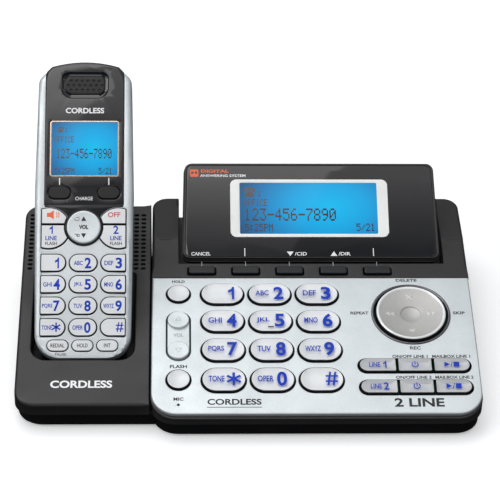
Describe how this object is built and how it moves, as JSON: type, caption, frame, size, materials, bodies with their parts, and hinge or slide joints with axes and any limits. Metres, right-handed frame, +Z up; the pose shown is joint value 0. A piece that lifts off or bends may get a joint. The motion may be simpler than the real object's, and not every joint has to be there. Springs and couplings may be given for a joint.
{
  "type": "cordless telephone with base",
  "caption": "Desk telephone base with dial keys, message dial, tilting blue display and charging cradle, holding an upright-leaning cordless handset.",
  "frame": {"origin": "on the table, under the centre of the whole set with the handset in its cradle", "axes": "+X to the right as the user faces it, +Y away from the user, +Z up"},
  "size_m": [0.235, 0.1683, 0.1224],
  "materials": {
    "black_plastic": "fine moulded texture",
    "charcoal_plastic": "fine moulded texture, satin",
    "gloss_black": "polished",
    "silver_paint": "silver paint on plastic, satin",
    "key_grey": "satin",
    "line_key_grey": "satin",
    "dial_grey": "satin",
    "rubber": "matte",
    "circuit_board": "solder mask",
    "speaker_cone": "paper cone on steel frame",
    "jack_plastic": "moulded",
    "contact_metal": "plated",
    "screw_steel": "zinc plated",
    "window_clear": "polished acrylic",
    "lcd_blue": "backlit liquid crystal display",
    "battery_wrap": "shrink wrap"
  },
  "bodies": {
    "base": {"base_lower_housing": "black_plastic", "cradle_cover": "charcoal_plastic", "console_frame": "charcoal_plastic", "faceplate": "silver_paint", "rubber_feet": "rubber", "base_circuit_board": "circuit_board", "speaker": "speaker_cone", "rear_jacks": "jack_plastic", "charge_contacts": "contact_metal", "housing_screws": "screw_steel"},
    "display": {"display_rear_shell": "black_plastic", "display_bezel": "gloss_black", "display_window": "window_clear", "display_lcd": "lcd_blue"},
    "handset": {"handset_front_shell": "silver_paint", "handset_fascia": "gloss_black", "handset_back_shell": "black_plastic", "handset_lcd": "lcd_blue", "handset_battery_pack": "battery_wrap", "handset_circuit_board": "circuit_board"},
    "battery_door": {"handset_battery_door": "black_plastic"},
    "key_1": {"key_1": "key_grey"},
    "key_2": {"key_2": "key_grey"},
    "key_3": {"key_3": "key_grey"},
    "key_4": {"key_4": "key_grey"},
    "key_5": {"key_5": "key_grey"},
    "key_6": {"key_6": "key_grey"},
    "key_7": {"key_7": "key_grey"},
    "key_8": {"key_8": "key_grey"},
    "key_9": {"key_9": "key_grey"},
    "key_star": {"key_star": "key_grey"},
    "key_0": {"key_0": "key_grey"},
    "key_pound": {"key_pound": "key_grey"},
    "key_hold": {"key_hold": "key_grey"},
    "key_flash": {"key_flash": "key_grey"},
    "volume_rocker": {"volume_rocker": "key_grey"},
    "message_dial": {"message_dial": "dial_grey"},
    "line_1_key": {"line_1_key": "line_key_grey"},
    "on_off_1_key": {"on_off_1_key": "line_key_grey"},
    "play_1_key": {"play_1_key": "line_key_grey"},
    "line_2_key": {"line_2_key": "line_key_grey"},
    "on_off_2_key": {"on_off_2_key": "line_key_grey"},
    "play_2_key": {"play_2_key": "line_key_grey"},
    "soft_key_1": {"soft_key_1": "gloss_black"},
    "soft_key_2": {"soft_key_2": "gloss_black"},
    "soft_key_3": {"soft_key_3": "gloss_black"},
    "soft_key_4": {"soft_key_4": "gloss_black"},
    "soft_key_5": {"soft_key_5": "gloss_black"},
    "handset_soft_left": {"handset_soft_left": "gloss_black"},
    "handset_soft_right": {"handset_soft_right": "gloss_black"},
    "handset_speaker_key": {"handset_speaker_key": "key_grey"},
    "handset_off_key": {"handset_off_key": "key_grey"},
    "handset_line_1_key": {"handset_line_1_key": "key_grey"},
    "handset_line_2_key": {"handset_line_2_key": "key_grey"},
    "handset_keys_123": {"handset_keys_123": "key_grey"},
    "handset_keys_456": {"handset_keys_456": "key_grey"},
    "handset_keys_789": {"handset_keys_789": "key_grey"},
    "handset_keys_star_0_pound": {"handset_keys_star_0_pound": "key_grey"},
    "handset_keys_bottom": {"handset_keys_bottom": "key_grey"},
    "handset_nav_key": {"handset_nav_key": "key_grey"}
  },
  "joints": [
    {"name": "key_1_press", "type": "slide", "parent": "base", "child": "key_1", "axis": [0, 0.1523, -0.9883], "range_m": [0, 0.001], "stiffness_N_per_m": 200, "springref_m": -0.001},
    {"name": "key_2_press", "type": "slide", "parent": "base", "child": "key_2", "axis": [0, 0.1523, -0.9883], "range_m": [0, 0.001], "stiffness_N_per_m": 200, "springref_m": -0.001},
    {"name": "key_3_press", "type": "slide", "parent": "base", "child": "key_3", "axis": [0, 0.1523, -0.9883], "range_m": [0, 0.001], "stiffness_N_per_m": 200, "springref_m": -0.001},
    {"name": "key_4_press", "type": "slide", "parent": "base", "child": "key_4", "axis": [0, 0.1809, -0.9835], "range_m": [0, 0.001], "stiffness_N_per_m": 200, "springref_m": -0.001},
    {"name": "key_5_press", "type": "slide", "parent": "base", "child": "key_5", "axis": [0, 0.1809, -0.9835], "range_m": [0, 0.001], "stiffness_N_per_m": 200, "springref_m": -0.001},
    {"name": "key_6_press", "type": "slide", "parent": "base", "child": "key_6", "axis": [0, 0.1809, -0.9835], "range_m": [0, 0.001], "stiffness_N_per_m": 200, "springref_m": -0.001},
    {"name": "key_7_press", "type": "slide", "parent": "base", "child": "key_7", "axis": [0, 0.2093, -0.9778], "range_m": [0, 0.001], "stiffness_N_per_m": 200, "springref_m": -0.001},
    {"name": "key_8_press", "type": "slide", "parent": "base", "child": "key_8", "axis": [0, 0.2093, -0.9778], "range_m": [0, 0.001], "stiffness_N_per_m": 200, "springref_m": -0.001},
    {"name": "key_9_press", "type": "slide", "parent": "base", "child": "key_9", "axis": [0, 0.2093, -0.9778], "range_m": [0, 0.001], "stiffness_N_per_m": 200, "springref_m": -0.001},
    {"name": "key_star_press", "type": "slide", "parent": "base", "child": "key_star", "axis": [0, 0.2376, -0.9714], "range_m": [0, 0.001], "stiffness_N_per_m": 200, "springref_m": -0.001},
    {"name": "key_0_press", "type": "slide", "parent": "base", "child": "key_0", "axis": [0, 0.2376, -0.9714], "range_m": [0, 0.001], "stiffness_N_per_m": 200, "springref_m": -0.001},
    {"name": "key_pound_press", "type": "slide", "parent": "base", "child": "key_pound", "axis": [0, 0.2376, -0.9714], "range_m": [0, 0.001], "stiffness_N_per_m": 200, "springref_m": -0.001},
    {"name": "key_hold_press", "type": "slide", "parent": "base", "child": "key_hold", "axis": [0, 0.1518, -0.9884], "range_m": [0, 0.001], "stiffness_N_per_m": 200, "springref_m": -0.001},
    {"name": "key_flash_press", "type": "slide", "parent": "base", "child": "key_flash", "axis": [0, 0.2372, -0.9715], "range_m": [0, 0.001], "stiffness_N_per_m": 200, "springref_m": -0.001},
    {"name": "line_1_key_press", "type": "slide", "parent": "base", "child": "line_1_key", "axis": [0, 0.2243, -0.9745], "range_m": [0, 0.001], "stiffness_N_per_m": 200, "springref_m": -0.001},
    {"name": "on_off_1_key_press", "type": "slide", "parent": "base", "child": "on_off_1_key", "axis": [0, 0.2243, -0.9745], "range_m": [0, 0.001], "stiffness_N_per_m": 200, "springref_m": -0.001},
    {"name": "play_1_key_press", "type": "slide", "parent": "base", "child": "play_1_key", "axis": [0, 0.2243, -0.9745], "range_m": [0, 0.001], "stiffness_N_per_m": 200, "springref_m": -0.001},
    {"name": "line_2_key_press", "type": "slide", "parent": "base", "child": "line_2_key", "axis": [0, 0.2443, -0.9697], "range_m": [0, 0.001], "stiffness_N_per_m": 200, "springref_m": -0.001},
    {"name": "on_off_2_key_press", "type": "slide", "parent": "base", "child": "on_off_2_key", "axis": [0, 0.2443, -0.9697], "range_m": [0, 0.001], "stiffness_N_per_m": 200, "springref_m": -0.001},
    {"name": "play_2_key_press", "type": "slide", "parent": "base", "child": "play_2_key", "axis": [0, 0.2443, -0.9697], "range_m": [0, 0.001], "stiffness_N_per_m": 200, "springref_m": -0.001},
    {"name": "soft_key_1_press", "type": "slide", "parent": "base", "child": "soft_key_1", "axis": [0, 0.1495, -0.9888], "range_m": [0, 0.001], "stiffness_N_per_m": 200, "springref_m": -0.001},
    {"name": "soft_key_2_press", "type": "slide", "parent": "base", "child": "soft_key_2", "axis": [0, 0.1495, -0.9888], "range_m": [0, 0.001], "stiffness_N_per_m": 200, "springref_m": -0.001},
    {"name": "soft_key_3_press", "type": "slide", "parent": "base", "child": "soft_key_3", "axis": [0, 0.1495, -0.9888], "range_m": [0, 0.001], "stiffness_N_per_m": 200, "springref_m": -0.001},
    {"name": "soft_key_4_press", "type": "slide", "parent": "base", "child": "soft_key_4", "axis": [0, 0.1495, -0.9888], "range_m": [0, 0.001], "stiffness_N_per_m": 200, "springref_m": -0.001},
    {"name": "soft_key_5_press", "type": "slide", "parent": "base", "child": "soft_key_5", "axis": [0, 0.1495, -0.9888], "range_m": [0, 0.001], "stiffness_N_per_m": 200, "springref_m": -0.001},
    {"name": "volume_rocker_tip", "type": "hinge", "parent": "base", "child": "volume_rocker", "pos_m": [-0.0354, -0.03522, 0.02391], "axis": [1, 0, 0], "range_deg": [-3, 3], "stiffness_Nm_per_rad": 0.06},
    {"name": "message_dial_tip", "type": "hinge", "parent": "base", "child": "message_dial", "pos_m": [0.0848, -0.0211, 0.02695], "axis": [1, 0, 0], "range_deg": [-3, 3], "stiffness_Nm_per_rad": 0.12},
    {"name": "display_tilt", "type": "hinge", "parent": "base", "child": "display", "pos_m": [0.035, 0.02581, 0.03331], "axis": [1, 0, 0], "range_deg": [-24, 25]},
    {"name": "handset_lift", "type": "slide", "parent": "base", "child": "handset", "axis": [0, 0.7705, 0.6374], "range_m": [0, 0.1]},
    {"name": "battery_door_slide", "type": "slide", "parent": "handset", "child": "battery_door", "axis": [0, -0.7705, -0.6374], "range_m": [0, 0.006]},
    {"name": "handset_soft_left_press", "type": "slide", "parent": "handset", "child": "handset_soft_left", "axis": [0, 0.6374, -0.7705], "range_m": [0, 0.0007], "stiffness_N_per_m": 200, "springref_m": -0.001},
    {"name": "handset_soft_right_press", "type": "slide", "parent": "handset", "child": "handset_soft_right", "axis": [0, 0.6374, -0.7705], "range_m": [0, 0.0007], "stiffness_N_per_m": 200, "springref_m": -0.001},
    {"name": "handset_speaker_key_press", "type": "slide", "parent": "handset", "child": "handset_speaker_key", "axis": [0, 0.6374, -0.7705], "range_m": [0, 0.0007], "stiffness_N_per_m": 200, "springref_m": -0.001},
    {"name": "handset_off_key_press", "type": "slide", "parent": "handset", "child": "handset_off_key", "axis": [0, 0.6374, -0.7705], "range_m": [0, 0.0007], "stiffness_N_per_m": 200, "springref_m": -0.001},
    {"name": "handset_line_1_key_press", "type": "slide", "parent": "handset", "child": "handset_line_1_key", "axis": [0, 0.6374, -0.7705], "range_m": [0, 0.0007], "stiffness_N_per_m": 200, "springref_m": -0.001},
    {"name": "handset_line_2_key_press", "type": "slide", "parent": "handset", "child": "handset_line_2_key", "axis": [0, 0.6374, -0.7705], "range_m": [0, 0.0007], "stiffness_N_per_m": 200, "springref_m": -0.001},
    {"name": "handset_keys_123_press", "type": "slide", "parent": "handset", "child": "handset_keys_123", "axis": [0, 0.6374, -0.7705], "range_m": [0, 0.0007], "stiffness_N_per_m": 200, "springref_m": -0.001},
    {"name": "handset_keys_456_press", "type": "slide", "parent": "handset", "child": "handset_keys_456", "axis": [0, 0.6374, -0.7705], "range_m": [0, 0.0007], "stiffness_N_per_m": 200, "springref_m": -0.001},
    {"name": "handset_keys_789_press", "type": "slide", "parent": "handset", "child": "handset_keys_789", "axis": [0, 0.6374, -0.7705], "range_m": [0, 0.0007], "stiffness_N_per_m": 200, "springref_m": -0.001},
    {"name": "handset_keys_star_0_pound_press", "type": "slide", "parent": "handset", "child": "handset_keys_star_0_pound", "axis": [0, 0.6374, -0.7705], "range_m": [0, 0.0007], "stiffness_N_per_m": 200, "springref_m": -0.001},
    {"name": "handset_keys_bottom_press", "type": "slide", "parent": "handset", "child": "handset_keys_bottom", "axis": [0, 0.6374, -0.7705], "range_m": [0, 0.0007], "stiffness_N_per_m": 200, "springref_m": -0.001},
    {"name": "handset_nav_key_tip", "type": "hinge", "parent": "handset", "child": "handset_nav_key", "pos_m": [-0.0841, 0.00698, 0.0628], "axis": [1, 0, 0], "range_deg": [-4, 4], "stiffness_Nm_per_rad": 0.03}
  ]
}
